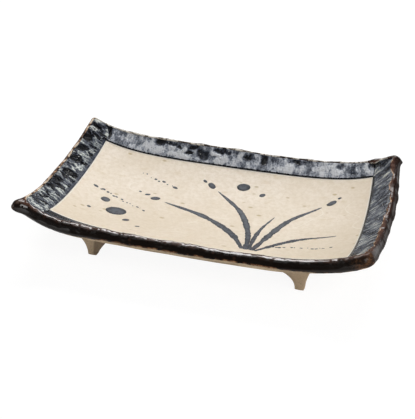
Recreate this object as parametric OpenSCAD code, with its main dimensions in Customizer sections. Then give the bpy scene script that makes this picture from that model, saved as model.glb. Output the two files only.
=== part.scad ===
// Rectangular stoneware serving plate, built from a hand-dished slab.
// The slab carries a raised border of four strips, a cream panel inside them,
// an iron glaze over the rim and four flared feet.
// Millimetres. X runs along the length, Y from front to rear and Z up.
// The origin lies on the table, under the middle of the plate.

/* [Outline] */
// Length of the slab from corner to corner
plate_length = 300; // [280:1:320]
// Depth of the slab from corner to corner
plate_depth = 164.2; // [154:0.2:176]
// How far each short end bows out past its corners
end_bow = 4.9; // [2:0.1:8]
// How far each long side bows out past its corners
side_bow = 2.5; // [1:0.1:5]
// How far the roundest corner is drawn in, along and across
corner_round = 2.4; // [0:0.1:2.4]

/* [Dish] */
// Height of the slab's top above the table, in the middle
middle_height = 14.4; // [12.6:0.1:19]
// How far the short ends rise above the middle
end_rise = 25.5; // [20:0.5:31]
// How far the long sides rise above the middle
side_rise = 24.2; // [18:0.1:28]
// How far the corners stay below both rises together
corner_drop = 7.8; // [4:0.1:11]
// Height of the waves along the hand-cut rim
rim_wave = 1.5; // [0:0.1:2.2]

/* [Slab] */
// Thickness of the clay slab
slab_thickness = 8.7; // [7:0.1:10]
// Bevel trimmed along the slab's lower edge
edge_bevel = 2.6; // [1.6:0.1:3.4]

/* [Border] */
// Width of the raised border at the short ends
end_border = 19.4; // [16:0.2:24]
// Width of the raised border along the front
front_border = 18.1; // [15:0.1:20]
// Width of the raised border along the rear
rear_border = 16.3; // [15:0.1:20]
// Height of the border strips above the slab
strip_height = 1.6; // [1.3:0.1:2.4]
// Softened outer arris of the border strips
strip_arris = 1.2; // [0.8:0.1:1.2]

/* [Glaze] */
// Thickness of the cream coat on the panel
panel_coat = 0.6; // [0.3:0.1:0.9]
// Thickness of the iron glaze on the rim
rim_coat = 0.8; // [0.5:0.1:1.2]
// How far the iron glaze laps in over the border
rim_lap = 3.4; // [2.4:0.1:4.5]

/* [Feet] */
// Distance from the slab's short end to the middle of a sole
foot_end_inset = 56.3; // [48:0.1:66]
// Distance from the slab's long side to the middle of a sole
foot_side_inset = 19.3; // [18:0.1:20.5]
// How far a foot's root reaches from its sole towards the middle of the plate
root_inner_reach = 18; // [14:0.5:21]
// How far a foot's root reaches from its sole towards the rim
root_outer_reach = 6.5; // [5:0.1:7.5]
// Width of a sole
sole_width = 8.4; // [6:0.1:11]
// Bevel trimmed round a sole
sole_bevel = 0.8; // [0.5:0.1:1.4]

/* [Hidden] */

half_length = plate_length / 2;
half_depth = plate_depth / 2;

// Shares of the end rise that grow with the 2nd, 4th and 6th power of the place along the plate
end_rise_shares = [0.24, 0.43, 0.33];
// Shares of the side rise that grow with the 2nd, 4th and 8th power of the place across the plate
side_rise_shares = [0.62, 0.36, 0.02];
// Shares of corner_round at the left and the right corner, for the front side and then the rear
corner_round_shares = [[0.25, 1], [0.25, 0.25]];
// Waves along each edge of the rim, as shares of rim_wave, at even steps
// from left to right, or from front to rear
rear_wave_shares = [-0.6, 0, 0.6, 0.4, -0.1, -0.9, -0.4, 0, 0.6];
front_wave_shares = [-0.8, -1.2, 0.5, 0.2, 0.1, 0.1, 0.2, 0.7, -0.1];
left_wave_shares = [0.7, 0.2, 0, 0, -0.1, -0.1, -0.1, 0.1, -0.5];
right_wave_shares = [-0.3, 0.1, -0.1, 0, -0.1, -0.1, 0.1, 0.1, -0.1];
// Power that keeps the corner rounding close to the corner
corner_power = 12;
// Power of the concave flare from a foot's sole to its root
flare_power = 1.8;
// Share by which a sole's square outline is rounded towards a circle
sole_round_share = 0.55;
// Share of the rim glaze left at the end of its lap
lap_end_share = 0.5;
// Rings from a foot's root to its sole
foot_rings = 8;
// Step, as a share of the plate, over which the sheet's slope is measured
slope_share = 0.001;
// Two points closer than this count as one
same_point = 0.0001;

// Places on the sheet are shares: u runs from -1 at the left end to 1 at the right end,
// and v from -1 at the front to 1 at the rear. A line at a named distance from the edge:
function line_u(inset) = 1 - inset / half_length;
function line_v(inset) = 1 - inset / half_depth;

// Even steps from one value to the next, without the last
function steps(from, to, count) = [for (i = [0:count - 1]) from + (to - from) * i / count];
function reflected(lines) = [for (i = [len(lines) - 1:-1:0]) -lines[i]];
// Lines from one edge to the other, where both halves start in the middle, at 0
function joined(low_half, high_half) = [for (i = [len(low_half) - 1:-1:1]) -low_half[i], each high_half];

foot_half_us = [
    each steps(line_u(foot_end_inset + root_inner_reach), line_u(foot_end_inset - root_outer_reach), 4),
    line_u(foot_end_inset - root_outer_reach)
];
// Lines under a foot at a long side, whose root reaches past the inner line of the border
function foot_half_vs(border) = [
    each steps(line_v(foot_side_inset + root_inner_reach), line_v(border), 2),
    each steps(line_v(border), line_v(foot_side_inset - root_outer_reach), 2),
    line_v(foot_side_inset - root_outer_reach)
];
// Lines of the whole sheet: every piece is cut from this one grid, so that they meet face to face
half_us = [
    each steps(0, foot_half_us[0], 6),
    each foot_half_us,
    each [for (i = [1:2]) foot_half_us[4] + (line_u(end_border) - foot_half_us[4]) * i / 3],
    each steps(line_u(end_border), line_u(rim_lap), 2),
    line_u(rim_lap), line_u(strip_arris), 1
];
function half_vs(border) = [
    each steps(0, foot_half_vs(border)[0], 4),
    each foot_half_vs(border),
    line_v(rim_lap), line_v(strip_arris), 1
];
sheet_us = joined(half_us, half_us);
sheet_vs = joined(half_vs(front_border), half_vs(rear_border));

function held(value, limit) = max(-limit, min(limit, value));
// Value of a table at t, which runs from -1 at its first entry to 1 at its last
function between(a, b, c, d, w) =
    (2 * b + (c - a) * w + (2 * a - 5 * b + 4 * c - d) * w * w + (3 * b - a - 3 * c + d) * w * w * w) / 2;
function along(table, t) =
    let (last = len(table) - 1)
    let (x = (t + 1) / 2 * last)
    let (i = max(0, min(last - 1, floor(x))))
    between(table[max(0, i - 1)], table[i], table[i + 1], table[min(last, i + 2)], x - i);

// The rim waves fade out from the edge to the inner line of the border
function rim_fade(t, inner) = pow(max(0, (abs(t) - inner) / (1 - inner)), 2);
function wave(u, v) = rim_wave * (
    rim_fade(v, line_v(v > 0 ? rear_border : front_border)) * along(v > 0 ? rear_wave_shares : front_wave_shares, u)
    + rim_fade(u, line_u(end_border)) * along(u > 0 ? right_wave_shares : left_wave_shares, v)
);
function end_climb(u) = end_rise_shares * [pow(u, 2), pow(u, 4), pow(u, 6)];
function side_climb(v) = side_rise_shares * [pow(v, 2), pow(v, 4), pow(v, 8)];
function corner_pull(u, v) =
    corner_round * corner_round_shares[v > 0 ? 1 : 0][u > 0 ? 1 : 0] * pow(abs(u * v), corner_power);

// Top face of the slab
function sheet(u, v) = [
    u * (half_length + end_bow * (1 - v * v)) - sign(u) * corner_pull(u, v),
    v * (half_depth + side_bow * (1 - u * u)) - sign(v) * corner_pull(u, v),
    middle_height + end_rise * end_climb(u) + side_rise * side_climb(v)
        - corner_drop * pow(u, 2) * pow(v, 4) + wave(u, v)
];
function unit(a) = a / norm(a);
function upward(u, v) = unit(cross(
    sheet(u + slope_share, v) - sheet(u - slope_share, v),
    sheet(u, v + slope_share) - sheet(u, v - slope_share)
));
// A point at a height above the slab's top face, square to it
function at(u, v, height) = sheet(u, v) + height * upward(u, v);

// Border strips end in a softened arris at the edge of the sheet
function strip_top(u, v) = max(abs(u), abs(v)) < 1 ? strip_height : strip_height - strip_arris;

// Points of a grid, and the order of its outer points, counterclockwise from above
function grid_places(us, vs) = [for (v = vs) for (u = us) [u, v]];
function grid_loop(us, vs) =
    let (n = len(us), m = len(vs))
    [
        for (i = [0:n - 2]) i,
        for (j = [0:m - 2]) j * n + n - 1,
        for (i = [n - 1:-1:1]) (m - 1) * n + i,
        for (j = [m - 1:-1:1]) j * n
    ];
function shifted(order, first) = [for (i = order) i + first];

// Triangles of a grid seen from above. Each cell is split along the diagonal that points
// away from the middle, so that two pieces that share a face share its triangles.
function grid_faces(us, vs, first) =
    let (n = len(us))
    [
        for (j = [0:len(vs) - 2])
        for (i = [0:n - 2])
        let (a = first + j * n + i, b = a + 1, d = a + n, c = d + 1)
        each (us[i] + us[i + 1]) * (vs[j] + vs[j + 1]) > 0
            ? [[a, d, c], [a, c, b]]
            : [[a, d, b], [b, d, c]]
    ];
function turned_over(faces) = [for (f = faces) [f[0], f[2], f[1]]];
// Triangles between two loops, from an upper or inner one to a lower or outer one
function wall_faces(upper, lower, places) =
    let (last = len(upper))
    [
        for (k = [0:last - 1])
        let (n = (k + 1) % last)
        let (leaving = abs(places[n].x * places[n].y) > abs(places[k].x * places[k].y))
        each leaving
            ? [[upper[k], lower[n], lower[k]], [upper[k], upper[n], lower[n]]]
            : [[upper[k], upper[n], lower[k]], [upper[n], lower[n], lower[k]]]
    ];
// Leaves out the triangles that have shrunk to a line or a point
function open_faces(points, faces) = [
    for (f = faces)
    let (a = points[f[0]], b = points[f[1]], c = points[f[2]])
    if (min(norm(a - b), norm(b - c), norm(c - a)) > same_point) f
];

// A solid between an upper and a lower grid, with loops of points between their edges
module sheet_solid(us, vs, upper, loops, lower) {
    order = grid_loop(us, vs);
    count = len(upper);
    around = [for (i = order) grid_places(us, vs)[i]];
    points = [each upper, each lower, for (ring = loops) each ring];
    rings = [
        order,
        each [for (r = [0:1:len(loops) - 1]) [for (k = [0:len(order) - 1]) 2 * count + r * len(order) + k]],
        shifted(order, count)
    ];
    faces = [
        each grid_faces(us, vs, 0),
        each turned_over(grid_faces(us, vs, count)),
        for (r = [0:len(rings) - 2]) each wall_faces(rings[r], rings[r + 1], around)
    ];
    polyhedron(points = points, faces = open_faces(points, faces), convexity = 6);
}

module slab() {
    places = grid_places(sheet_us, sheet_vs);
    edge = [for (i = grid_loop(sheet_us, sheet_vs)) places[i]];
    color("tan") sheet_solid(
        sheet_us,
        sheet_vs,
        [for (p = places) at(p.x, p.y, 0)],
        [[for (p = edge) at(p.x, p.y, edge_bevel - slab_thickness)]],
        [for (p = places) at(held(p.x, line_u(edge_bevel)), held(p.y, line_v(edge_bevel)), -slab_thickness)]
    );
}

// A strip of the border, with its lower face on the slab
module border_strip(us, vs) {
    color("slategray") sheet_solid(
        us,
        vs,
        [for (p = grid_places(us, vs)) at(p.x, p.y, strip_top(p.x, p.y))],
        [],
        [for (p = grid_places(us, vs)) at(p.x, p.y, 0)]
    );
}

end_strip_us = [for (u = sheet_us) if (u >= line_u(end_border)) u];
rear_strip_vs = [for (v = sheet_vs) if (v >= line_v(rear_border)) v];
front_strip_vs = [for (v = sheet_vs) if (v <= -line_v(front_border)) v];
panel_us = [for (u = sheet_us) if (abs(u) <= line_u(end_border)) u];
panel_vs = [for (v = sheet_vs) if (v >= -line_v(front_border) && v <= line_v(rear_border)) v];

// The end strips run through to both long sides, and the side strips butt between them
module right_border_strip() border_strip(end_strip_us, sheet_vs);
module left_border_strip() border_strip(reflected(end_strip_us), sheet_vs);
module rear_border_strip() border_strip(panel_us, rear_strip_vs);
module front_border_strip() border_strip(panel_us, front_strip_vs);

module panel_glaze() {
    places = grid_places(panel_us, panel_vs);
    color("antiquewhite") sheet_solid(
        panel_us,
        panel_vs,
        [for (p = places) at(p.x, p.y, panel_coat)],
        [],
        [for (p = places) at(p.x, p.y, 0)]
    );
}

// The rim glaze is a coat that follows the lap, the arris and the edge face of the clay.
// Its inner points lie on the clay, and its outer ones stand off it by the coat.
module rim_glaze() {
    places = grid_places(sheet_us, sheet_vs);
    edge = [for (i = grid_loop(sheet_us, sheet_vs)) places[i]];
    last = len(edge);
    brink = [for (p = edge) sheet(p.x, p.y)];
    up = [for (p = edge) upward(p.x, p.y)];
    out = [for (k = [0:last - 1]) unit(cross(brink[(k + 1) % last] - brink[(k + last - 1) % last], up[k]))];
    lap = [for (p = edge) at(held(p.x, line_u(rim_lap)), held(p.y, line_v(rim_lap)), strip_height)];
    arris = [for (p = edge) at(held(p.x, line_u(strip_arris)), held(p.y, line_v(strip_arris)), strip_height)];
    brow = [for (p = edge) at(p.x, p.y, strip_height - strip_arris)];
    foot = [for (p = edge) at(p.x, p.y, edge_bevel - slab_thickness)];
    function offset_by(ring, angle, reach) =
        [for (k = [0:last - 1]) ring[k] + reach * (cos(angle) * out[k] + sin(angle) * up[k])];
    rings = [
        lap,
        arris,
        brow,
        brink,
        foot,
        offset_by(foot, 15, rim_coat * 0.7),
        offset_by(foot, 45, rim_coat * sqrt(2)),
        offset_by(brow, 0, rim_coat),
        offset_by(brow, 45, rim_coat),
        offset_by(arris, 45, rim_coat),
        offset_by(arris, 90, rim_coat),
        offset_by(lap, 90, rim_coat * lap_end_share)
    ];
    count = len(rings);
    points = [for (ring = rings) each ring];
    faces = [
        for (r = [0:count - 1])
        each wall_faces(
            [for (k = [0:last - 1]) r * last + k],
            [for (k = [0:last - 1]) (r + 1) % count * last + k],
            edge
        )
    ];
    color("#2c2019") polyhedron(
        points = points,
        faces = open_faces(points, turned_over(faces)),
        convexity = 10
    );
}

// A foot grows from a patch of the slab's lower face and narrows to a flat sole on the table.
// side_x is 1 at the right and -1 at the left, and side_y is 1 at the rear and -1 at the front.
module foot(side_x, side_y) {
    us = side_x > 0 ? foot_half_us : reflected(foot_half_us);
    vs = side_y > 0 ? foot_half_vs(rear_border) : reflected(foot_half_vs(front_border));
    places = grid_places(us, vs);
    order = grid_loop(us, vs);
    root = [for (p = places) at(p.x, p.y, -slab_thickness)];
    middle = [side_x * (half_length - foot_end_inset), side_y * (half_depth - foot_side_inset)];
    // Outline of the sole: the patch's outline on a unit square, rounded towards a circle
    square = [
        for (i = order)
        [i % len(us) * 2 / (len(us) - 1) - 1, floor(i / len(us)) * 2 / (len(vs) - 1) - 1]
    ];
    sole = [
        for (q = square)
        let (round = [q.x * sqrt(1 - q.y * q.y / 2), q.y * sqrt(1 - q.x * q.x / 2)])
        q * (1 - sole_round_share) + round * sole_round_share
    ];
    function flare(k, height) =
        let (edge = root[order[k]])
        let (rise = max(0, height - sole_bevel) / (edge.z - sole_bevel))
        let (start = middle + sole[k] * sole_width / 2)
        let (place = start + ([edge.x, edge.y] - start) * pow(rise, flare_power))
        [place.x, place.y, height];
    shaft = [
        for (r = [1:foot_rings])
        [
            for (k = [0:len(order) - 1])
            flare(k, sole_bevel + (root[order[k]].z - sole_bevel) * (1 - r / foot_rings))
        ]
    ];
    tread = [for (q = sole) let (place = middle + q * (sole_width / 2 - sole_bevel)) [place.x, place.y, 0]];
    points = [each root, for (ring = shaft) each ring, each tread];
    rings = [
        order,
        for (r = [0:foot_rings]) [for (k = [0:len(order) - 1]) len(root) + r * len(order) + k]
    ];
    around = [for (i = order) places[i]];
    faces = [
        each grid_faces(us, vs, 0),
        for (r = [0:foot_rings]) each wall_faces(rings[r], rings[r + 1], around),
        rings[foot_rings + 1]
    ];
    color("tan") polyhedron(points = points, faces = faces, convexity = 4);
}

module front_left_foot() foot(-1, -1);
module front_right_foot() foot(1, -1);
module rear_left_foot() foot(-1, 1);
module rear_right_foot() foot(1, 1);

slab();
front_left_foot();
front_right_foot();
rear_left_foot();
rear_right_foot();
left_border_strip();
right_border_strip();
front_border_strip();
rear_border_strip();
panel_glaze();
rim_glaze();
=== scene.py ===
"""Looks of a rectangular stoneware serving plate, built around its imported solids.

The plate is a dished slab on four flared feet, with a torn, blue-grey border, a cream
panel and an iron glaze over its rim. Every piece follows the formula of the slab's own
sheet, in metres: u runs from -1 at the left end to 1 at the right end, and v from -1 at
the front to 1 at the rear.
"""

import math

import bpy
import numpy as np
from mathutils import Matrix, Vector


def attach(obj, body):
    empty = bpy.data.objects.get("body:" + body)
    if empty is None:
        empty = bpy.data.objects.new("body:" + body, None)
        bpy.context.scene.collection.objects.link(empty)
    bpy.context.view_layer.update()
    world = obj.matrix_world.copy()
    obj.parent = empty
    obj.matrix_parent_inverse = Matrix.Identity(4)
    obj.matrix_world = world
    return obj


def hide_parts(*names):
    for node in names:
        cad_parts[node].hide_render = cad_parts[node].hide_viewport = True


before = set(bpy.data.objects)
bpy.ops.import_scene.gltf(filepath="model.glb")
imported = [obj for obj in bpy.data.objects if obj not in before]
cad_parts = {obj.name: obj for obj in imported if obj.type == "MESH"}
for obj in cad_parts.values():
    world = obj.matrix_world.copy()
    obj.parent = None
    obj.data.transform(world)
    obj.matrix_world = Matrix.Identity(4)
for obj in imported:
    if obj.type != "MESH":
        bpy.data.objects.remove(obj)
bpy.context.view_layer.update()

# Sheet of clay
HALF_LENGTH = 0.150
HALF_DEPTH = 0.0821
END_BOW = 0.0049
SIDE_BOW = 0.0025
MIDDLE_HEIGHT = 0.0144
END_RISE = 0.0255
SIDE_RISE = 0.0242
CORNER_DROP = 0.0078
RIM_WAVE = 0.0015
END_RISE_SHARES = (0.24, 0.43, 0.33)
SIDE_RISE_SHARES = (0.62, 0.36, 0.02)
WAVE_SHARES = {
    "rear": (-0.6, 0, 0.6, 0.4, -0.1, -0.9, -0.4, 0, 0.6),
    "front": (-0.8, -1.2, 0.5, 0.2, 0.1, 0.1, 0.2, 0.7, -0.1),
    "left": (0.7, 0.2, 0, 0, -0.1, -0.1, -0.1, 0.1, -0.5),
    "right": (-0.3, 0.1, -0.1, 0, -0.1, -0.1, 0.1, 0.1, -0.1),
}
SLAB_THICKNESS = 0.0087
EDGE_BEVEL = 0.0026
# Radius of each corner, seen from above, by its side along X and along Y
CORNER_RADII = {(-1, -1): 0.003, (1, -1): 0.0085, (-1, 1): 0.0025, (1, 1): 0.003}

# Border strips and coats
END_BORDER = 0.0194
FRONT_BORDER = 0.0181
REAR_BORDER = 0.0163
STRIP_HEIGHT = 0.0016
PANEL_COAT = 0.0006
RIM_COAT = 0.0008
# How far a piece reaches down into what carries it, so that no gap shows
SEAT = 0.0003
# How far the clay stays back from the slab's face where the rim glaze covers it
COVERED_INSET = 0.0014

# Steps of the meshes
SLAB_STEP = 0.0016
PANEL_STEP = 0.001
STRIP_STEP = 0.00045
RIM_STEP = 0.0005
SECTION_STEP = 0.00005
# Length over which a wandering line spends its count of values
WANDER_SPAN = 0.3

# Feet
FOOT_END_INSET = 0.0563
FOOT_SIDE_INSET = 0.0193
ROOT_INNER_REACH = 0.018
ROOT_OUTER_REACH = 0.0065
SOLE_WIDTH = 0.0084
SOLE_BEVEL = 0.0008
FLARE_POWER = 1.8
# The front left foot has a straighter inner side
INNER_FLARE_POWERS = {(-1, -1): 1.15, (1, -1): 2.1}
FOOT_ROUND_SHARE = 0.3


# The sheet
def along(table, t):
    """Value of an evenly spaced table at t, which runs from -1 at its first entry to 1 at its last."""
    table = np.asarray(table, float)
    last = len(table) - 1
    x = (np.clip(t, -1, 1) + 1) / 2 * last
    i = np.clip(np.floor(x).astype(int), 0, last - 1)
    w = x - i
    a, b, c, d = (table[np.clip(i + k, 0, last)] for k in (-1, 0, 1, 2))
    return (2 * b + (c - a) * w + (2 * a - 5 * b + 4 * c - d) * w**2 + (3 * b - a - 3 * c + d) * w**3) / 2


def line_u(inset):
    """Place u of a line that runs at an inset from the right end."""
    return 1 - inset / HALF_LENGTH


def line_v(inset):
    """Place v of a line that runs at an inset from the rear side."""
    return 1 - inset / HALF_DEPTH


def rim_fade(t, inner):
    """0 inside a border's inner line, and 1 at the rim."""
    return np.maximum(0, (np.abs(t) - inner) / (1 - inner)) ** 2


def wave(u, v):
    """Height of the small waves along the hand-cut rim."""
    side = np.where(
        v > 0,
        rim_fade(v, line_v(REAR_BORDER)) * along(WAVE_SHARES["rear"], u),
        rim_fade(v, line_v(FRONT_BORDER)) * along(WAVE_SHARES["front"], u),
    )
    end = rim_fade(u, line_u(END_BORDER)) * np.where(
        u > 0, along(WAVE_SHARES["right"], v), along(WAVE_SHARES["left"], v)
    )
    return RIM_WAVE * (side + end)


def rounded(u, v):
    """Draws the sheet's square corners onto quarter circles."""
    for (side_x, side_y), radius in CORNER_RADII.items():
        reach_u, reach_v = radius / HALF_LENGTH, radius / HALF_DEPTH
        a = np.maximum(0, (side_x * u - 1) / reach_u + 1)
        b = np.maximum(0, (side_y * v - 1) / reach_v + 1)
        inside = (a > 0) & (b > 0)
        new_a = a * np.sqrt(1 - b * b / 2)
        new_b = b * np.sqrt(1 - a * a / 2)
        u = np.where(inside, side_x * (1 + reach_u * (new_a - 1)), u)
        v = np.where(inside, side_y * (1 + reach_v * (new_b - 1)), v)
    return u, v


def square_sheet(u, v):
    """Top face of the slab, with its corners square."""
    end_climb = sum(share * u**power for share, power in zip(END_RISE_SHARES, (2, 4, 6)))
    side_climb = sum(share * v**power for share, power in zip(SIDE_RISE_SHARES, (2, 4, 8)))
    x = u * (HALF_LENGTH + END_BOW * (1 - v * v))
    y = v * (HALF_DEPTH + SIDE_BOW * (1 - u * u))
    climb = MIDDLE_HEIGHT + END_RISE * end_climb + SIDE_RISE * side_climb
    z = climb - CORNER_DROP * u**2 * v**4 + wave(u, v)
    return np.stack([x, y, z], -1)


def unit(a):
    """Vectors with their length made 1."""
    return a / np.linalg.norm(a, axis=-1, keepdims=True)


def sheet(u, v):
    """Top face of the slab."""
    return square_sheet(*rounded(u, v))


def upward(u, v):
    """The way that the slab's top face looks, square to it."""
    u, v = rounded(u, v)
    step = 0.001
    along_u = square_sheet(u + step, v) - square_sheet(u - step, v)
    along_v = square_sheet(u, v + step) - square_sheet(u, v - step)
    return unit(np.cross(along_u, along_v))


def at(u, v, height):
    """A point at a height above the slab's top face, square to it."""
    return sheet(u, v) + np.asarray(height)[..., None] * upward(u, v)


def smooth(value, low, high):
    """0 at low and 1 at high, with a soft start and end."""
    t = np.clip((value - low) / (high - low), 0, 1)
    return t * t * (3 - 2 * t)


def wander(t, seed, count):
    """A smooth random line through count values a unit of t, from -1 to 1."""
    values = np.random.default_rng(seed).uniform(-1, 1, 4096)
    x = np.asarray(t) * count
    i = np.floor(x).astype(int)
    w = x - i
    w = w * w * (3 - 2 * w)
    return values[i % 4096] * (1 - w) + values[(i + 1) % 4096] * w


# Meshes
def new_piece(name, points, faces):
    """A smooth-shaded object from its points and faces."""
    mesh = bpy.data.meshes.new(name)
    mesh.from_pydata(points.tolist(), [], faces)
    mesh.validate()
    mesh.polygons.foreach_set("use_smooth", np.ones(len(mesh.polygons), bool))
    mesh.update()
    piece = bpy.data.objects.new(name, mesh)
    bpy.context.scene.collection.objects.link(piece)
    return piece


def store(piece, name, values):
    """Keeps a number or a vector for each point of a piece."""
    values = np.ascontiguousarray(values, np.float32)
    kind, field = ("FLOAT_VECTOR", "vector") if values.ndim == 2 else ("FLOAT", "value")
    piece.data.attributes.new(name, kind, "POINT").data.foreach_set(field, values.ravel())


def lines(low, high, step):
    """Evenly spaced values from low to high, no further apart than a step."""
    return np.linspace(low, high, max(2, math.ceil(abs(high - low) / step) + 1))


def edge_order(nu, nv):
    """The outer points of a grid, counterclockwise from above."""
    return np.concatenate([
        np.arange(nu - 1),
        np.arange(nv - 1) * nu + nu - 1,
        (nv - 1) * nu + np.arange(nu - 1, 0, -1),
        np.arange(nv - 1, 0, -1) * nu,
    ])


def lower_faces(nu, nv, skip, first):
    """Faces of a grid seen from below, with each skip-th row kept, and every outer point."""
    rows = list(range(0, nv - 1, skip)) + [nv - 1]
    faces = []
    for low, high in zip(rows, rows[1:]):
        left = [first + j * nu for j in range(low, high + 1)]
        right = [first + j * nu + nu - 1 for j in range(high, low - 1, -1)]
        faces.append(left + [first + high * nu + 1, first + low * nu + 1])
        faces.append(right + [first + low * nu + nu - 2, first + high * nu + nu - 2])
        for i in range(1, nu - 2):
            a, b = first + low * nu + i, first + high * nu + i
            faces.append([a, b, b + 1, a + 1])
    return faces


def sheet_piece(name, us, vs, upper, rings, lower, skip=1):
    """A closed piece between an upper and a lower grid of points, with rings between their edges, and which
    of all those points it uses."""
    nu, nv = len(us), len(vs)
    count = nu * nv
    order = edge_order(nu, nv)
    points = np.concatenate([upper.reshape(-1, 3), lower.reshape(-1, 3), *rings])
    loops = [order] + [2 * count + r * len(order) + np.arange(len(order)) for r in range(len(rings))]
    loops.append(order + count)
    i, j = np.meshgrid(np.arange(nu - 1), np.arange(nv - 1))
    a = (j * nu + i).ravel()
    faces = np.stack([a, a + 1, a + nu + 1, a + nu], -1).tolist()
    faces += lower_faces(nu, nv, skip, count)
    for high, low in zip(loops, loops[1:]):
        faces += np.stack([high, low, np.roll(low, -1), np.roll(high, -1)], -1).tolist()
    used = np.arange(len(points))
    if skip > 1:
        used = np.unique(np.concatenate([np.asarray(f) for f in faces]))
        new = np.full(len(points), -1)
        new[used] = np.arange(len(used))
        faces = [new[f].tolist() for f in faces]
    return new_piece(name, points[used], faces), used


def sheet_attribute(values, used):
    """Spreads a value that is known on the upper grid to the lower one, where a piece has no rings."""
    flat = values.reshape(values.shape[0] * values.shape[1], -1)
    full = np.concatenate([flat, flat])[used]
    return full[:, 0] if values.ndim == 2 else full


# Node trees
class Nodes:
    """Adds nodes to a tree, so that an effect reads as a formula. add and cells give back a node, and the
    other calls that make one give back its output."""

    def __init__(self, tree):
        self.tree = tree

    def feed(self, socket, value):
        if isinstance(value, bpy.types.NodeSocket):
            self.tree.links.new(value, socket)
        elif value is not None:
            socket.default_value = value

    def feed_all(self, node, inputs):
        for name, value in inputs.items():
            self.feed(node.inputs[name], value)

    def add(self, kind, inputs=None, **settings):
        node = self.tree.nodes.new(kind)
        for name, value in settings.items():
            setattr(node, name, value)
        self.feed_all(node, inputs or {})
        return node

    def math(self, operation, *values):
        return self.add("ShaderNodeMath", dict(enumerate(values)), operation=operation).outputs[0]

    def plus(self, a, b):
        return self.math("ADD", a, b)

    def minus(self, a, b):
        return self.math("SUBTRACT", a, b)

    def times(self, a, b):
        return self.math("MULTIPLY", a, b)

    def times_plus(self, a, b, c):
        return self.math("MULTIPLY_ADD", a, b, c)

    def vector(self, operation, *values, scale=None):
        node = self.add("ShaderNodeVectorMath", dict(enumerate(values)), operation=operation)
        if scale is not None:
            self.feed(node.inputs["Scale"], scale)
        return node.outputs["Value" if operation == "LENGTH" else "Vector"]

    def remap(self, value, low, high, to_low=0.0, to_high=1.0, kind="SMOOTHSTEP"):
        inputs = {"Value": value, "From Min": low, "From Max": high, "To Min": to_low, "To Max": to_high}
        return self.add("ShaderNodeMapRange", inputs, interpolation_type=kind).outputs["Result"]

    def blend(self, factor, a, b):
        return self.add("ShaderNodeMix", {0: factor, 6: a, 7: b}, data_type="RGBA").outputs[2]

    def layers(self, colour, *layers):
        """Lays colours over one another. Each has its mask first, then its screen values."""
        for mask, *values in layers:
            colour = self.blend(mask, colour, tone(*values))
        return colour

    def noise(self, vector, size, detail=3.0, roughness=0.5, distortion=0.0):
        scale = self.math("DIVIDE", 1.0, size)
        inputs = {"Vector": vector, "Scale": scale, "Detail": detail, "Roughness": roughness}
        inputs["Distortion"] = distortion
        return self.add("ShaderNodeTexNoise", inputs).outputs[0]

    def cells(self, vector, size, feature="F1"):
        scale = self.math("DIVIDE", 1.0, size)
        return self.add("ShaderNodeTexVoronoi", {"Vector": vector, "Scale": scale}, feature=feature)

    def ramp(self, value, stops):
        node = self.add("ShaderNodeValToRGB", {0: value})
        elements = node.color_ramp.elements
        while len(elements) < len(stops):
            elements.new(0.5)
        for element, (place, colour) in zip(elements, stops):
            element.position = place
            element.color = colour
        return node.outputs["Color"]


def new_tree(name, kind, inputs, output, output_kind):
    """A node tree: its Nodes, its input sockets by name and its output node. inputs gives each number's
    default, or the kind of an input that is no number."""
    tree = bpy.data.node_groups.new(name, kind)
    for title, value in inputs.items():
        socket = value if isinstance(value, str) else "Float"
        entry = tree.interface.new_socket(title, in_out="INPUT", socket_type="NodeSocket" + socket)
        if socket == "Float":
            entry.default_value = value
    tree.interface.new_socket(output, in_out="OUTPUT", socket_type="NodeSocket" + output_kind)
    nodes = Nodes(tree)
    given = {s.name: s for s in tree.nodes.new("NodeGroupInput").outputs if s.name}
    return nodes, given, tree.nodes.new("NodeGroupOutput")


def geometry_tree(name, inputs):
    """A new tree that takes a geometry and a material, and gives back a geometry."""
    inputs = {"Geometry": "Geometry", **inputs, "Material": "Material"}
    nodes, given, out = new_tree(name, "GeometryNodeTree", inputs, "Geometry", "Geometry")
    nodes.tree.is_modifier = True
    return nodes, given, out


def attribute(nodes, name, kind="FLOAT"):
    """A value that the mesh keeps for each of its points, in a geometry tree."""
    node = nodes.add("GeometryNodeInputNamedAttribute", {"Name": name}, data_type=kind)
    return node.outputs["Attribute"]


def stored(nodes, geometry, name, value):
    """The geometry, with a number kept for each of its points."""
    inputs = {"Geometry": geometry, "Name": name, "Value": value}
    node = nodes.add("GeometryNodeStoreNamedAttribute", inputs, data_type="FLOAT", domain="POINT")
    return node.outputs["Geometry"]


def finished(nodes, geometry, material, out):
    """Ends a tree: instances made real, and the material set."""
    real = nodes.add("GeometryNodeRealizeInstances", {"Geometry": geometry}).outputs["Geometry"]
    painted = nodes.add("GeometryNodeSetMaterial", {"Geometry": real, "Material": material})
    nodes.feed(out.inputs["Geometry"], painted.outputs["Geometry"])


def work(piece, nodes, **values):
    """Runs a tree on a piece and keeps the result as its plain mesh."""
    modifier = piece.modifiers.new(nodes.tree.name, "NODES")
    modifier.node_group = nodes.tree
    for item in nodes.tree.interface.items_tree:
        key = item.name.replace(" ", "_").lower()
        if item.in_out == "INPUT" and key in values:
            modifier[item.identifier] = values[key]
    bpy.context.view_layer.update()
    graph = bpy.context.evaluated_depsgraph_get()
    made = piece.evaluated_get(graph)
    mesh = bpy.data.meshes.new_from_object(made, preserve_all_data_layers=True, depsgraph=graph)
    piece.modifiers.remove(modifier)
    piece.data = mesh
    return piece


# Shader effects that several glazes share
def tone(red, green, blue):
    """A colour from its screen values, 0 to 255."""
    shares = (value / 255 for value in (red, green, blue))
    linear = (share / 12.92 if share < 0.04045 else ((share + 0.055) / 1.055) ** 2.4 for share in shares)
    return (*linear, 1.0)


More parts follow.
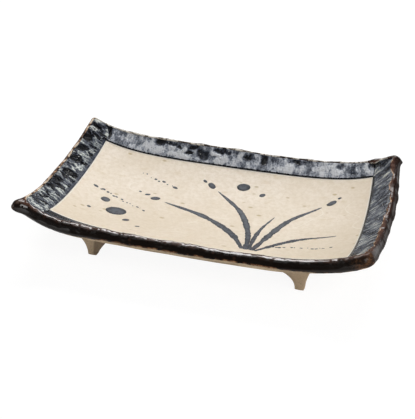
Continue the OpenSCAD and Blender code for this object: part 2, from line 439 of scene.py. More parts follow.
def cloudy_tone():
    """Soft clouds in a fired surface."""
    inputs = {"Vector": "Vector", "Size": 0.02, "Low": 0.35, "High": 0.65}
    nodes, given, out = new_tree("cloudy_tone", "ShaderNodeTree", inputs, "Mask", "Float")
    cloud = nodes.noise(given["Vector"], given["Size"], 4.0, 0.55, 0.4)
    nodes.feed(out.inputs["Mask"], nodes.remap(cloud, given["Low"], given["High"]))
    return nodes.tree


def fired_specks():
    """Round specks, each in a cell of its own, of which a share is there."""
    inputs = {"Vector": "Vector", "Spacing": 0.004, "Radius": 0.2, "Share": 0.3}
    nodes, given, out = new_tree("fired_specks", "ShaderNodeTree", inputs, "Mask", "Float")
    cell = nodes.cells(given["Vector"], given["Spacing"])
    draw = nodes.add("ShaderNodeSeparateColor", {0: cell.outputs["Color"]}).outputs[0]
    there = nodes.math("LESS_THAN", draw, given["Share"])
    inner = nodes.times(given["Radius"], 0.4)
    spot = nodes.remap(cell.outputs["Distance"], given["Radius"], inner)
    nodes.feed(out.inputs["Mask"], nodes.times(spot, there))
    return nodes.tree


def fine_grain():
    """Grain of the clay body, which also shows through a thin glaze."""
    inputs = {"Vector": "Vector", "Size": 0.001}
    nodes, given, out = new_tree("fine_grain", "ShaderNodeTree", inputs, "Height", "Float")
    coarse = nodes.noise(given["Vector"], given["Size"], 3.0, 0.6)
    fine = nodes.noise(given["Vector"], nodes.times(given["Size"], 0.3), 2.0, 0.5)
    nodes.feed(out.inputs["Height"], nodes.times_plus(fine, 0.4, coarse))
    return nodes.tree


GROUPS = {make.__name__: make() for make in (cloudy_tone, fired_specks, fine_grain)}
# Middle of the height that fine_grain gives
GRAIN_MIDDLE = 0.7


def effect(nodes, name, **values):
    """Places a shared effect in a material, with the material's own values."""
    inputs = {title.capitalize(): value for title, value in values.items()}
    return nodes.add("ShaderNodeGroup", inputs, node_tree=GROUPS[name]).outputs[0]


def new_material(name):
    """A material, its Nodes, its shader and the place on the object."""
    material = bpy.data.materials.new(name)
    material.use_nodes = True
    nodes = Nodes(material.node_tree)
    shader = material.node_tree.nodes["Principled BSDF"]
    place = nodes.add("ShaderNodeTexCoord").outputs["Object"]
    return material, nodes, shader, place


def painted(nodes, name):
    """A number that the mesh keeps for each of its points, in a material."""
    return nodes.add("ShaderNodeAttribute", attribute_name=name).outputs["Fac"]


def coat(nodes, shader, colour, roughness, shine):
    """Sets the colour, the roughness and how strongly the surface mirrors the room."""
    nodes.feed_all(shader, {"Base Color": colour, "Roughness": roughness, "Specular IOR Level": shine})


def bumped(nodes, shader, height, distance):
    """Ends a material with its fine relief."""
    bump = nodes.add("ShaderNodeBump", {"Height": height, "Distance": distance, "Strength": 1.0})
    nodes.feed(shader.inputs["Normal"], bump.outputs["Normal"])


def bare_clay():
    """Unglazed stoneware of the underside and the feet."""
    material, nodes, shader, place = new_material("bare_clay")
    cloud = effect(nodes, "cloudy_tone", vector=place, size=0.03, low=0.3, high=0.7)
    grain = effect(nodes, "fine_grain", vector=place, size=0.0012)
    specks = effect(nodes, "fired_specks", vector=place, spacing=0.0035, radius=0.16, share=0.35)
    colour = nodes.layers(
        nodes.blend(cloud, tone(206, 182, 151), tone(224, 202, 172)),
        (nodes.remap(grain, 0.45, 0.95, 0.0, 0.35), 146, 122, 96),
        (nodes.times(specks, 0.6), 96, 78, 60),
        # Painted shade on the inner sides of the feet
        (painted(nodes, "painted_shade"), 78, 60, 45),
    )
    coat(nodes, shader, colour, nodes.remap(grain, 0.3, 1.0, 0.78, 0.95), 0.3)
    bumped(nodes, shader, grain, 0.0004)
    return material


def cream_glaze():
    """Smooth cream glaze of the panel, with faint ochre marks and brush drag."""
    material, nodes, shader, place = new_material("cream_glaze")
    cloud = effect(nodes, "cloudy_tone", vector=place, size=0.045, low=0.3, high=0.7)
    stretched = nodes.vector("MULTIPLY", place, (0.5, 1.0, 1.0))
    ochre = effect(nodes, "fired_specks", vector=stretched, spacing=0.009, radius=0.18, share=0.6)
    blush = effect(nodes, "cloudy_tone", vector=stretched, size=0.006, low=0.55, high=0.8)
    mottle = effect(nodes, "cloudy_tone", vector=place, size=0.0035, low=0.3, high=0.7)
    drag = nodes.noise(nodes.vector("MULTIPLY", place, (0.12, 1.0, 1.0)), 0.002, 3.0, 0.6)
    grain = effect(nodes, "fine_grain", vector=place, size=0.0016)
    # Painted shade: the cream darkens towards the front and the right end
    axes = nodes.add("ShaderNodeSeparateXYZ", {0: place}).outputs
    front = nodes.remap(axes["Y"], 0.065, -0.065, 0.0, 0.36)
    right_end_shade = nodes.remap(axes["X"], 0.04, 0.13, 0.0, 0.2)
    fold = nodes.noise(stretched, 0.05, 1.0)
    crease = nodes.remap(nodes.math("ABSOLUTE", nodes.minus(fold, 0.47)), 0.0035, 0.0)
    # Pale line along the panel's edge: partly glaze breaking whiter on its lip, partly a painted highlight
    pale = nodes.remap(painted(nodes, "margin"), 0.0014, 0.0008)
    colour = nodes.layers(
        nodes.blend(cloud, tone(238, 225, 207), tone(247, 236, 222)),
        (nodes.times(mottle, 0.55), 224, 209, 186),
        (nodes.times(blush, 0.5), 214, 194, 160),
        (nodes.plus(front, right_end_shade), 206, 190, 164),
        (nodes.times(ochre, 0.75), 188, 166, 122),
        (nodes.remap(drag, 0.5, 0.8, 0.0, 0.12), 206, 192, 168),
        (nodes.times(crease, nodes.remap(cloud, 0.2, 0.9, 0.0, 0.9)), 246, 237, 223),
        (nodes.times(pale, 0.8), 246, 240, 230),
    )
    coat(nodes, shader, colour, nodes.remap(grain, 0.3, 1.0, 0.48, 0.62), 0.1)
    relief = nodes.times_plus(drag, 0.6, grain)
    relief = nodes.minus(relief, nodes.times(ochre, 0.8))
    bumped(nodes, shader, relief, 0.00018)
    return material


def border_glaze(name, tilt, mottle, mottle_size, pale, palest, shine):
    """Blue-grey glaze that pools dark in the hollows of a strip and breaks pale on its heights. tilt makes
    all of it paler, or darker below 0, and partly paints light and shade onto the strip; mottle is the
    strength of its grain, and shine is how strongly it mirrors the room."""
    material, nodes, shader, place = new_material(name)
    relief = painted(nodes, "relief")
    margin = painted(nodes, "margin")
    cloud = effect(nodes, "cloudy_tone", vector=place, size=0.011, low=0.3, high=0.7)
    grain = effect(nodes, "fine_grain", vector=place, size=mottle_size)
    pits = effect(nodes, "fired_specks", vector=place, spacing=0.0028, radius=0.28, share=0.25)
    # Pale specks: partly pale beads in the glaze, partly painted glints
    beads_and_glints = effect(nodes, "fired_specks", vector=place, spacing=0.0034, radius=0.2, share=0.22)
    level = nodes.times_plus(nodes.minus(grain, GRAIN_MIDDLE), mottle, relief)
    level = nodes.plus(level, nodes.times_plus(cloud, 0.2, tilt - 0.1))
    level = nodes.times_plus(level, 1.4, -0.17)
    stops = [
        (0.1, tone(7, 9, 14)),
        (0.28, tone(25, 29, 38)),
        (0.45, tone(64, 69, 81)),
        (0.62, tone(104, 109, 118)),
        (0.78, tone(*pale)),
        (0.95, tone(*palest)),
    ]
    band = nodes.minus(margin, painted(nodes, "band"))
    ragged = nodes.times_plus(nodes.minus(grain, GRAIN_MIDDLE), 0.0016, margin)
    line = nodes.minus(ragged, painted(nodes, "line"))
    colour = nodes.layers(
        nodes.ramp(level, stops),
        (nodes.remap(band, 0.0008, -0.0008, 0.0, 0.7), 66, 71, 84),
        (nodes.remap(line, 0.0003, -0.0002), 20, 22, 27),
        (nodes.times(pits, 0.75), 20, 21, 26),
        (nodes.times(beads_and_glints, 0.7), 205, 204, 198),
    )
    coat(nodes, shader, colour, nodes.remap(level, 0.2, 1.0, 0.12, 0.3), shine)
    height = nodes.minus(nodes.times(grain, 0.8), nodes.times(pits, 0.7))
    bumped(nodes, shader, height, 0.0005)
    return material


def iron_glaze():
    """Glossy iron glaze of the rim: lighter and brown on its crest and black lower down, which is partly
    glaze that ran together below and partly painted light and shade, and amber where it breaks on an edge."""
    material, nodes, shader, place = new_material("iron_glaze")
    thin = painted(nodes, "thin")
    pooled = painted(nodes, "pooled")
    cloud = effect(nodes, "cloudy_tone", vector=place, size=0.007, low=0.3, high=0.7)
    grain = effect(nodes, "fine_grain", vector=place, size=0.0014)
    rust = effect(nodes, "fired_specks", vector=place, spacing=0.006, radius=0.3, share=0.25)
    # Painted light and shade, partly pooled glaze: the colour darkens down the rim from a lit crest to a
    # shaded lower face
    level = nodes.times_plus(nodes.minus(cloud, 0.5), 0.35, pooled)
    level = nodes.times_plus(nodes.minus(painted(nodes, "relief"), 0.5), -0.8, level)
    level = nodes.times_plus(nodes.minus(grain, GRAIN_MIDDLE), -0.25, level)
    black = nodes.ramp(level, [(0.05, tone(72, 46, 35)), (0.3, tone(34, 20, 15)), (0.6, tone(11, 6, 4))])
    brown = nodes.ramp(level, [(0.05, tone(80, 50, 38)), (0.35, tone(48, 29, 23)), (0.8, tone(26, 15, 12))])
    broken = nodes.remap(nodes.noise(place, 0.006, 3.0), 0.35, 0.62, 0.25, 1.3)
    frayed = nodes.times(nodes.minus(grain, GRAIN_MIDDLE), 0.6)
    ragged = nodes.times_plus(thin, broken, frayed)
    colour = nodes.layers(
        nodes.blend(painted(nodes, "ruddy"), black, brown),
        (nodes.times(rust, 0.3), 84, 56, 42),
        (nodes.remap(ragged, 0.2, 0.6), 92, 64, 44),
        (nodes.remap(ragged, 0.55, 0.85), 168, 128, 94),
        (nodes.remap(ragged, 0.9, 1.15), 222, 206, 186),
    )
    washed = nodes.times(nodes.remap(ragged, 0.3, 0.6), painted(nodes, "wash"))
    patch = effect(nodes, "cloudy_tone", vector=place, size=0.005, low=0.36, high=0.56)
    pale = nodes.blend(patch, tone(84, 72, 62), tone(212, 207, 196))
    colour = nodes.blend(washed, colour, pale)
    coat(nodes, shader, colour, nodes.remap(grain, 0.3, 1.0, 0.5, 0.62), 0.12)
    nodes.feed_all(shader, {
        "Specular Tint": (1.0, 0.72, 0.55, 1.0),
        "Coat Weight": painted(nodes, "gloss"),
        "Coat Roughness": 0.1,
        "Coat IOR": 1.55,
    })
    bumped(nodes, shader, nodes.times(grain, 0.5), 0.00025)
    return material


def ink_wash():
    """Blue-black pigment under the cream glaze, darker where it pooled."""
    material, nodes, shader, place = new_material("ink_wash")
    pooled = painted(nodes, "pooled")
    cloud = effect(nodes, "cloudy_tone", vector=place, size=0.004, low=0.35, high=0.7)
    level = nodes.plus(nodes.times(pooled, 0.7), nodes.times(cloud, 0.35))
    colour = nodes.ramp(level, [(0.1, tone(66, 71, 81)), (0.5, tone(46, 50, 58)), (0.9, tone(27, 30, 36))])
    coat(nodes, shader, colour, nodes.remap(cloud, 0.0, 1.0, 0.45, 0.6), 0.3)
    return material


# Border strips
def torn_relief():
    """Geometry tree that tears the top of a strip into chips and ridges, streaks and soft blotches."""
    inputs = {
        "Height": 0.0012,
        "Grain": 0.006,
        "Stretch": 2.0,
        "Angle": 0.5,
        "Chips": 0.5,
        "Ridges": 0.5,
        "Blotches": 0.5,
        "Streaks": 0.5,
        "Streak Size": 0.0011,
        "Seed": 1.0,
    }
    nodes, given, out = geometry_tree("torn_relief", inputs)
    place = attribute(nodes, "place", "FLOAT_VECTOR")
    shifted = nodes.vector("ADD", place, nodes.vector("SCALE", (0.31, 0.17, 0.23), scale=given["Seed"]))
    turned = nodes.add(
        "ShaderNodeVectorRotate",
        {"Vector": shifted, "Angle": given["Angle"]},
        rotation_type="Z_AXIS",
    ).outputs["Vector"]
    slower = nodes.math("DIVIDE", 1.0, given["Stretch"])
    squeeze = nodes.add("ShaderNodeCombineXYZ", {"X": slower, "Y": 1.0, "Z": 1.0})
    drawn = nodes.vector("MULTIPLY", turned, squeeze.outputs["Vector"])

    def grains(count):
        return nodes.times(given["Grain"], count)

    bend = nodes.noise(drawn, grains(1.2), 3.0)
    push = nodes.times(nodes.minus(bend, 0.5), grains(3.0))
    bent = nodes.vector("ADD", drawn, nodes.vector("SCALE", (1.0, 0.6, 0.0), scale=push))
    chip = nodes.cells(bent, given["Grain"])
    chip_tone = nodes.add("ShaderNodeSeparateXYZ", {0: chip.outputs["Color"]}).outputs["X"]
    to_edge = nodes.cells(bent, given["Grain"], "DISTANCE_TO_EDGE").outputs["Distance"]
    chip_edge = nodes.remap(to_edge, 0.14, 0.0)
    chips = nodes.times_plus(chip_edge, 0.45, nodes.minus(chip_tone, 0.6))
    ridge = nodes.times_plus(nodes.noise(bent, grains(0.9), 4.0, 0.6, 0.4), 5.0, -2.5)
    ridges = nodes.minus(0.4, nodes.math("ABSOLUTE", ridge))
    blotches = nodes.times_plus(nodes.noise(drawn, grains(1.6), 3.0, 0.55), 4.0, -2.0)
    fine = nodes.vector("MULTIPLY", turned, (0.16, 1.0, 1.0))
    streak = nodes.noise(fine, given["Streak Size"], 3.0, 0.6)
    streaks = nodes.times_plus(streak, 4.0, -2.0)
    parts = ((chips, "Chips"), (ridges, "Ridges"), (blotches, "Blotches"), (streaks, "Streaks"))
    level = nodes.minus(0.5, attribute(nodes, "hollow"))
    for part, title in parts:
        level = nodes.times_plus(part, given[title], level)
    level = nodes.remap(level, -0.1, 1.1, -0.1, 1.1, kind="LINEAR")
    form = nodes.times_plus(ridges, 0.35, nodes.times(level, 0.65))
    torn = nodes.times(nodes.minus(form, 0.3), attribute(nodes, "free"))
    lift = nodes.times(torn, given["Height"])
    normal = nodes.add("GeometryNodeInputNormal").outputs["Normal"]
    offset = nodes.vector("SCALE", normal, scale=lift)
    moved = nodes.add("GeometryNodeSetPosition", {"Geometry": given["Geometry"], "Offset": offset})
    kept = stored(nodes, moved.outputs["Geometry"], "relief", level)
    finished(nodes, kept, given["Material"], out)
    return nodes


# Deep places of the border, where its glaze pools black: place along X and Y, reach along X and Y,
# and depth
HOLLOWS = (
    (-0.078, 0.0785, 0.006, 0.0030, 0.45),
    (-0.067, 0.0790, 0.0050, 0.0020, 0.45),
    (-0.058, 0.0768, 0.0055, 0.0016, 0.45),
    (-0.048, 0.0745, 0.0055, 0.0016, 0.45),
    (-0.044, 0.0790, 0.0045, 0.0018, 0.4),
    (-0.034, 0.0740, 0.0060, 0.0050, 0.5),
    (-0.016, 0.0790, 0.008, 0.0028, 0.45),
    (0.010, 0.0770, 0.006, 0.0030, 0.4),
    (0.025, 0.0760, 0.004, 0.0050, 0.4),
    (0.060, 0.0785, 0.008, 0.0025, 0.35),
    (0.100, 0.0780, 0.004, 0.0030, 0.35),
    (-0.139, 0.0780, 0.0055, 0.0075, 0.5),
    (-0.1455, 0.058, 0.0040, 0.0060, 0.4),
    (-0.1445, 0.042, 0.0055, 0.0045, 0.5),
    (-0.1445, 0.027, 0.0060, 0.0040, 0.45),
    (-0.143, 0.006, 0.0060, 0.0040, 0.5),
    (-0.144, -0.010, 0.0045, 0.0035, 0.45),
    (-0.1445, -0.027, 0.0040, 0.0035, 0.35),
    (0.133, 0.0775, 0.0060, 0.0030, 0.4),
    (-0.1304, 0.0745, 0.0014, 0.0090, 0.6),
)
# Smooth places, where the border's glaze lies level and pale, in the same order
LEVELS = (
    (-0.083, 0.073, 0.008, 0.0050, 0.25),
    (-0.056, 0.070, 0.012, 0.0030, 0.3),
    (-0.015, 0.0705, 0.010, 0.0040, 0.3),
    (0.052, 0.071, 0.012, 0.0040, 0.25),
    (0.090, 0.073, 0.014, 0.0050, 0.25),
    (-0.0535, 0.0762, 0.0030, 0.0024, 0.6),
    (-0.022, 0.0765, 0.0040, 0.0022, 0.4),
)
# Width of a band or line that isn't there
NO_BAND = -0.01
# How far in from the arris the rim glaze covers the border on each side
LAP_REACHES = {"rear": 0.0007, "front": 0.0042, "right": 0.0040, "left": 0.0008}


def hollows(x, y):
    """How deep the border lies at a place, below its usual height."""
    total = np.zeros(x.shape)
    bend_x = 0.0016 * wander((y - 0.4 * x) / WANDER_SPAN, 61, 70)
    bend_y = 0.0012 * wander((x + 0.3 * y) / WANDER_SPAN, 62, 90)
    x, y = x + bend_x, y + bend_y
    for places, sign in ((HOLLOWS, 1), (LEVELS, -1)):
        for centre_x, centre_y, reach_x, reach_y, depth in places:
            far = ((x - centre_x) / reach_x) ** 2 + ((y - centre_y) / reach_y) ** 2
            total += sign * depth * np.exp(-far**2.5)
    return total


def border_strip(name, us, vs, across, panel_line, band, line, tree, material, thickness, **values):
    """A strip of the border. across is "u" or "v", the way that it crosses from the panel to the rim.
    band and line are the widths of the smooth glaze and of the black line beside the panel."""
    u, v = np.meshgrid(us, vs)
    to_end = (1 - np.abs(u)) * HALF_LENGTH
    to_side = (1 - np.abs(v)) * HALF_DEPTH
    from_panel = np.abs((u - panel_line) * HALF_LENGTH if across == "u" else (v - panel_line) * HALF_DEPTH)
    to_rim = np.minimum(to_end, to_side)
    rise = 0.55 + 0.45 * np.sqrt(smooth(from_panel, 0, 0.0012))
    fall = 1 - 0.75 * smooth(to_rim, 0.0016, 0) ** 2
    from_end_lap = to_end - np.where(u > 0, LAP_REACHES["right"], LAP_REACHES["left"])
    from_side_lap = to_side - np.where(v > 0, LAP_REACHES["rear"], LAP_REACHES["front"])
    from_lap = np.minimum(from_end_lap, from_side_lap)
    swell = 0.12 * wander((u * HALF_LENGTH + 0.7 * v * HALF_DEPTH) / WANDER_SPAN, 11, 14)
    swell = swell * smooth(from_panel, 0.001, 0.006) * smooth(to_rim, 0.0, 0.003)
    height = thickness * (rise * fall + swell)
    height -= 0.0007 * smooth(from_lap, -0.0008, -0.0022)
    lower = at(u, v, -SEAT)
    piece, used = sheet_piece(name, us, vs, at(u, v, height), [], lower, skip=max(2, len(vs) // 8))
    here = np.stack([u * HALF_LENGTH, v * HALF_DEPTH, np.zeros(u.shape)], -1)
    top = np.concatenate([np.ones(u.size), np.zeros(u.size)])[used]
    beside = (v < line_v(REAR_BORDER)) & (v > -line_v(FRONT_BORDER)) | (across == "v")
    loose = smooth(from_panel, 0.0012, 0.0034) * smooth(from_lap, 0, 0.0016)
    tables = {
        "place": here,
        "margin": from_panel,
        "band": np.where(beside, band, NO_BAND),
        "line": np.where(beside, line, NO_BAND),
        "hollow": hollows(u * HALF_LENGTH, v * HALF_DEPTH),
    }
    for title, table in tables.items():
        store(piece, title, sheet_attribute(table, used))
    store(piece, "free", sheet_attribute(loose, used) * top)
    return work(piece, tree, material=material, **values)


# Rim
# The clay under the rim glaze, in section, as places out and up from the arris: a thick roll along the front
# and right sides, and a thinner lip, which leans outwards, along the rear and left sides
EDGE_FOOT = EDGE_BEVEL - SLAB_THICKNESS
UNDER_EDGE = ((0.0, EDGE_FOOT), (-EDGE_BEVEL, -SLAB_THICKNESS), (-0.0075, -SLAB_THICKNESS))
ROLL = (
    (-0.0066, STRIP_HEIGHT),
    (-0.0048, STRIP_HEIGHT + 0.0003),
    (-0.0037, STRIP_HEIGHT + 0.0009),
    (-0.0006, -0.0003),
    (0.0, -0.0022),
) + UNDER_EDGE
LOW_ROLL = (
    (-0.0066, STRIP_HEIGHT),
    (-0.0048, STRIP_HEIGHT + 0.0002),
    (-0.0037, STRIP_HEIGHT + 0.0003),
    (-0.0006, 0.00035),
    (0.0, -0.0014),
) + UNDER_EDGE
# Slopes of the flat on the two rolls, which are mixed so that the pressed crest faces one way all round
ROLL_SLOPE = 0.903
LOW_ROLL_SLOPE = 0.5
CREST_FACES = (0.0, -0.044, 0.999)
LIP = (
    (-0.0060, STRIP_HEIGHT),
    (-0.0026, STRIP_HEIGHT),
    (-0.0010, STRIP_HEIGHT + 0.0003),
    (0.0001, STRIP_HEIGHT - 0.0004),
    (0.0006, -0.0010),
    (0.0003, -0.0030),
) + UNDER_EDGE


def rim_section(corners):
    """A section as a rounded line: its length so far, its places, its normals, and its length at the arris
    and at the foot of the edge face."""
    corners = np.array(corners)
    dense = np.concatenate([
        np.linspace(a, b, max(2, int(np.linalg.norm(b - a) / SECTION_STEP)))[:-1]
        for a, b in zip(corners, corners[1:])
    ])
    width = 12
    padded = np.concatenate([np.repeat(dense[:1], width, 0), dense, np.repeat(dense[-1:], width, 0)])
    kernel = np.hanning(2 * width + 1)
    kernel /= kernel.sum()
    line = np.stack([np.convolve(padded[:, k], kernel, "valid") for k in (0, 1)], -1)
    far = np.concatenate([[0], np.cumsum(np.linalg.norm(np.diff(line, axis=0), axis=1))])
    slope = np.gradient(line, axis=0)
    normal = unit(np.stack([-slope[:, 1], slope[:, 0]], -1))
    arris = far[np.argmax(line[:, 0] > -0.0003)]
    foot_of_edge = far[-1 - np.argmax(line[::-1, 1] > EDGE_FOOT)]
    return far, line, normal, arris, foot_of_edge


def rim_path(step):
    """Places (u, v) round the sheet's edge, counterclockwise from the rear right corner, evenly spaced."""
    count = 4000
    t = np.arange(count) / count
    places = np.concatenate([
        np.stack([1 - 2 * t, np.ones(count)], -1),
        np.stack([-np.ones(count), 1 - 2 * t], -1),
        np.stack([2 * t - 1, -np.ones(count)], -1),
        np.stack([np.ones(count), 2 * t - 1], -1),
    ])
    points = sheet(places[:, 0], places[:, 1])
    gaps = np.linalg.norm(np.roll(points, -1, 0) - points, axis=1)
    length = np.concatenate([[0], np.cumsum(gaps)])
    number = int(length[-1] / step)
    wanted = np.arange(number) * length[-1] / number
    closed = np.concatenate([places, places[:1]])
    return np.stack([np.interp(wanted, length, closed[:, k]) for k in (0, 1)], -1), length[-1]


# Share of the edge face and bevel that the glaze leaves bare, at even steps along each side
BARE_SHARES = {
    "front": (0.0, 0.0, 0.3, 0.5, 0.5, 0.6, 0.5, 0.05, 0.0),
    "rear": (0.1, 0.4, 0.7, 0.6, 0.8, 0.9, 0.5, 0.3, 0.1),
    "left": (0.0, 0.3, 0.6, 0.5, 0.1),
    "right": (0.0, 0.1, 0.15, 0.1, 0.0),
}
# For each side: how far the glaze laps in over the border, how wide it runs thin there, how pale its thin
# edge is, how strongly the roll is cut into facets, whether its section is the thin lip, how ragged the lap
# is, how brown the glaze stays and how glossy it is
RIM_SIDES = {
    "rear": (0.0007, 0.0022, 1.0, 0.6, 1.0, 0.0005, 0.6, 0.3),
    "front": (0.0046, 0.0009, 0.0, 1.6, 0.0, 0.0006, 0.0, 1.0),
    "right": (0.0040, 0.0018, 0.0, 1.3, 0.0, 0.0018, 1.0, 0.4),
    "left": (0.0007, 0.0045, 0.1, 0.6, 1.0, 0.0006, 1.0, 0.02),
}
# Glaze and clay gathered on the rim: place (u, v), height, how far it is drawn outwards, reach, how much
# further it laps in there, the share of its gloss that it loses, or gains below 0, and how thin it is worn
LUMPS = (
    (-1, -1, 0.0002, 0.0036, 0.0050, 0.0030, 0.0, 0.3),
    (1, -1, 0.0002, 0.0, 0.012, 0.0, 0.8, 0.46),
    (1, 0.955, 0.0002, 0.0016, 0.0026, 0.0, -0.6, 0.0),
    (-1, 1, 0.0003, 0.0, 0.006, 0.0, 0.0, 0.0),
    (0.87, 1, 0.0006, 0.0, 0.0048, 0.0040, -2.0, 0.0),
)


def hand_cut():
    """Geometry tree that cuts the rim into soft facets and roughens its glaze."""
    inputs = {"Cut Depth": 0.0008, "Cut Length": 0.02, "Grain": 0.004, "Grain Height": 0.0003}
    nodes, given, out = geometry_tree("hand_cut", inputs)
    place = attribute(nodes, "place", "FLOAT_VECTOR")
    strength = attribute(nodes, "free")
    across = nodes.vector("MULTIPLY", place, (1.0, 1.0, 0.8))
    cell = nodes.cells(across, given["Cut Length"])
    cut = cell.outputs["Distance"]
    swell = nodes.noise(across, nodes.times(given["Cut Length"], 0.7), 2.0)
    rough = nodes.noise(place, given["Grain"], 3.0, 0.55, 0.3)
    facet = nodes.times_plus(swell, 1.6, nodes.times_plus(cut, 1.2, -1.1))
    facet = nodes.math("MAXIMUM", facet, 0.0)
    lift = nodes.times(facet, given["Cut Depth"])
    grain = nodes.times(nodes.minus(rough, 0.5), given["Grain Height"])
    total = nodes.times(nodes.plus(lift, grain), strength)
    normal = nodes.add("GeometryNodeInputNormal").outputs["Normal"]
    offset = nodes.vector("SCALE", normal, scale=total)
    moved = nodes.add("GeometryNodeSetPosition", {"Geometry": given["Geometry"], "Offset": offset})
    level = nodes.plus(nodes.times(cut, 0.5), nodes.times(rough, 0.5))
    kept = stored(nodes, moved.outputs["Geometry"], "relief", level)
    finished(nodes, kept, given["Material"], out)
    return nodes


def rim_glaze(material):
    """The iron coat, as closed lines round the rim: the outer ones run from the lap over the border down to
    the bare clay, and the inner ones lead back inside the clay."""
    places, length = rim_path(RIM_STEP)
    u, v = places[:, 0], places[:, 1]
    count = len(u)
    brink = sheet(u, v)
    up = upward(u, v)
    run = np.roll(brink, -1, 0) - np.roll(brink, 1, 0)
    out = unit(np.cross(run, up))
    up = unit(np.cross(out, run))
    t = np.arange(count) / count
    on_side = np.abs(v) * HALF_DEPTH - HALF_DEPTH > np.abs(u) * HALF_LENGTH - HALF_LENGTH
    here = {
        "rear": on_side & (v > 0),
        "front": on_side & (v <= 0),
        "right": ~on_side & (u > 0),
        "left": ~on_side & (u <= 0),
    }
    bare = sum(
        here[side] * along(BARE_SHARES[side], u if side in ("front", "rear") else v) for side in here
    )

    def by_side(k, soft):
        """A value of each side, which changes softly over a number of steps at the corners."""
        values = sum(here[side] * RIM_SIDES[side][k] for side in here)
        padded = np.concatenate([values[-soft:], values, values[:soft]])
        return np.convolve(padded, np.full(2 * soft + 1, 1 / (2 * soft + 1)), "valid")

    softness = (20, 8, 4, 16, 12, 20, 12, 12)
    columns = (by_side(k, soft) for k, soft in enumerate(softness))
    lap, thin_reach, wash, facets, lip, ragged, ruddy, gloss = columns
    ragged_start = ragged * (wander(t, 21, 80) + 0.5 * wander(t, 22, 300))
    ragged_end = 0.00035 * wander(t, 23, 160) + 0.0002 * wander(t, 24, 520)
    lump, drawn, worn = np.zeros(count), np.zeros(count), np.zeros(count)
    for lump_u, lump_v, height, outwards, reach, further, dull, wear in LUMPS:
        middle = sheet(np.array([float(lump_u)]), np.array([float(lump_v)]))
        share = np.exp(-(np.linalg.norm(brink - middle, axis=1) / reach) ** 1.3)
        lump += height * share
        drawn += outwards * share
        worn += wear * share
        lap = lap + further * share
        facets = facets + 300 * height * share
        gloss = gloss * (1 - dull * share)
    outer_count, inner_count = 34, 10
    w = (1 - np.cos(np.linspace(0, math.pi, outer_count))) / 2
    w = 0.5 * w + 0.5 * np.linspace(0, 1, outer_count)
    slope = (out @ CREST_FACES) / (up @ CREST_FACES)
    low = (ROLL_SLOPE - slope) / (ROLL_SLOPE - LOW_ROLL_SLOPE) + 0.35 * wander(t, 25, 70)
    low = (1 - lip) * np.clip(low, 0, 1)
    shapes = ((1 - lip - low, ROLL), (low, LOW_ROLL), (lip, LIP))
    sections = [(weight, rim_section(corners)) for weight, corners in shapes]
    rings, tables = [], []
    radius = length / (2 * math.pi)
    turn = 2 * math.pi * t
    for k in range(outer_count + inner_count):
        outer = k < outer_count
        share = w[k] if outer else 1 - (k - outer_count + 0.5) / inner_count
        point, normal = np.zeros((count, 2)), np.zeros((count, 2))
        far_here, from_start, to_end = 0, 0, 0
        for weight, (far, line, section_normal, arris, foot_of_edge) in sections:
            start = arris - lap + ragged_start
            end = foot_of_edge + 0.0034 - 0.0052 * bare + ragged_end
            reached = start + (end - start) * share
            for m in (0, 1):
                point[:, m] += weight * np.interp(reached, far, line[:, m])
                normal[:, m] += weight * np.interp(reached, far, section_normal[:, m])
            far_here = far_here + weight * (reached - arris)
            from_start = from_start + weight * (reached - start)
            to_end = to_end + weight * (end - reached)
        normal = unit(normal)
        if outer:
            rounding = (1 - np.abs(2 * share - 1) ** 6) ** 0.5
            gathered = lump * smooth(share, 0.05, 0.5) * smooth(1 - share, 0, 0.35)
            raised = (RIM_COAT / 2 + gathered) * rounding
            pull = drawn * smooth(share, 0.1, 0.5) * smooth(1 - share, 0, 0.3)
            cut = facets * rounding * (1 - 0.6 * (1 - ruddy) * smooth(share, 0.5, 0.9))
        else:
            raised = np.full(count, -4 * SEAT)
            pull, cut = np.zeros(count), np.zeros(count)
        point += normal * raised[:, None]
        point += pull[:, None] * (1, -0.8)
        rings.append(brink + point[:, :1] * out + point[:, 1:] * up)
        edge = np.maximum(smooth(from_start, thin_reach, 0), 0.62 * smooth(to_end, 0.0024, 0.0004))
        tables.append({
            "place": np.stack([radius * np.cos(turn), radius * np.sin(turn), far_here], -1),
            "thin": np.maximum(edge, worn),
            "free": cut,
            # Darkens down the section: partly glaze that ran together below, partly painted shade
            "pooled": smooth(far_here, -0.0036, 0.0034),
            "wash": wash,
            "ruddy": ruddy,
            "gloss": gloss * (1 - 0.75 * smooth(to_end, 0.0075, 0.0035)),
        })
    ring_count = len(rings)
    points = np.stack(rings, 1).reshape(-1, 3)
    i, j = np.meshgrid(np.arange(ring_count), np.arange(count))
    i2, j2 = (i + 1) % ring_count, (j + 1) % count
    loops = ((j, i), (j, i2), (j2, i2), (j2, i))
    faces = np.stack([row * ring_count + column for row, column in loops], -1)
    piece = new_piece("rim_glaze_coat", points, faces.reshape(-1, 4).tolist())
    for title in tables[0]:
        values = np.stack([table[title] for table in tables], 1)
        store(piece, title, values.reshape(-1, *values.shape[2:]))
    return work(
        piece,
        hand_cut(),
        material=material,
        cut_depth=0.0017,
        cut_length=0.022,
        grain=0.0045,
        grain_height=0.00014,
    )


# Panel
def panel_height(u, v):
    """Height of the cream coat above the slab, with the slight sway of a hand-laid glaze."""
    x, y = u * HALF_LENGTH, v * HALF_DEPTH
    sway = 0.00012 * wander((x + 0.4 * y) / WANDER_SPAN, 31, 9)
    sway = sway + 0.0001 * wander((y - 0.3 * x) / WANDER_SPAN, 32, 12)
    return PANEL_COAT + sway


